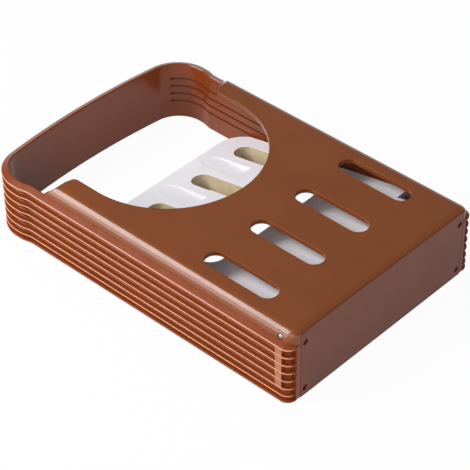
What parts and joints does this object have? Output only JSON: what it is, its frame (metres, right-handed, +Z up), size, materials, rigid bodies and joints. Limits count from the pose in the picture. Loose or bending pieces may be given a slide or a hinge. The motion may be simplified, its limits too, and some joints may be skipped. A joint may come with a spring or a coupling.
{
  "type": "bread slicer guide",
  "caption": "Folding loaf-slicing guide: U-shaped frame with knife slits, arched back panel with hand cut-out and long slots, flat foot plate and a hinged bread board.",
  "frame": {"origin": "middle of the underside of the folded guide, in the plane that it lies on", "axes": "+X from the handle end to the foot plate, +Y across from the near arm to the far arm, +Z up from the underside to the back panel"},
  "size_m": [0.214, 0.1428, 0.042],
  "materials": {
    "brown_plastic": "glossy moulded brown plastic, slightly soft sheen",
    "foot_plastic": "satin moulded brown plastic, a little duller than the panel",
    "white_plastic": "satin moulded white plastic",
    "pin_steel": "bright turned steel",
    "screw_steel": "blackened steel"
  },
  "bodies": {
    "guide": {"guide_frame": "brown_plastic", "back_panel": "brown_plastic", "foot_plate": "foot_plastic", "foot_screw_1": "screw_steel", "foot_screw_2": "screw_steel", "foot_screw_3": "screw_steel", "foot_screw_4": "screw_steel", "near_hinge_pin": "pin_steel", "far_hinge_pin": "pin_steel"},
    "board": {"bread_board": "white_plastic"}
  },
  "joints": [
    {"name": "board_hinge", "type": "hinge", "parent": "guide", "child": "board", "pos_m": [0.0982, 0, 0.0375], "axis": [0, -1, 0], "range_deg": [-10.5, 79]}
  ]
}
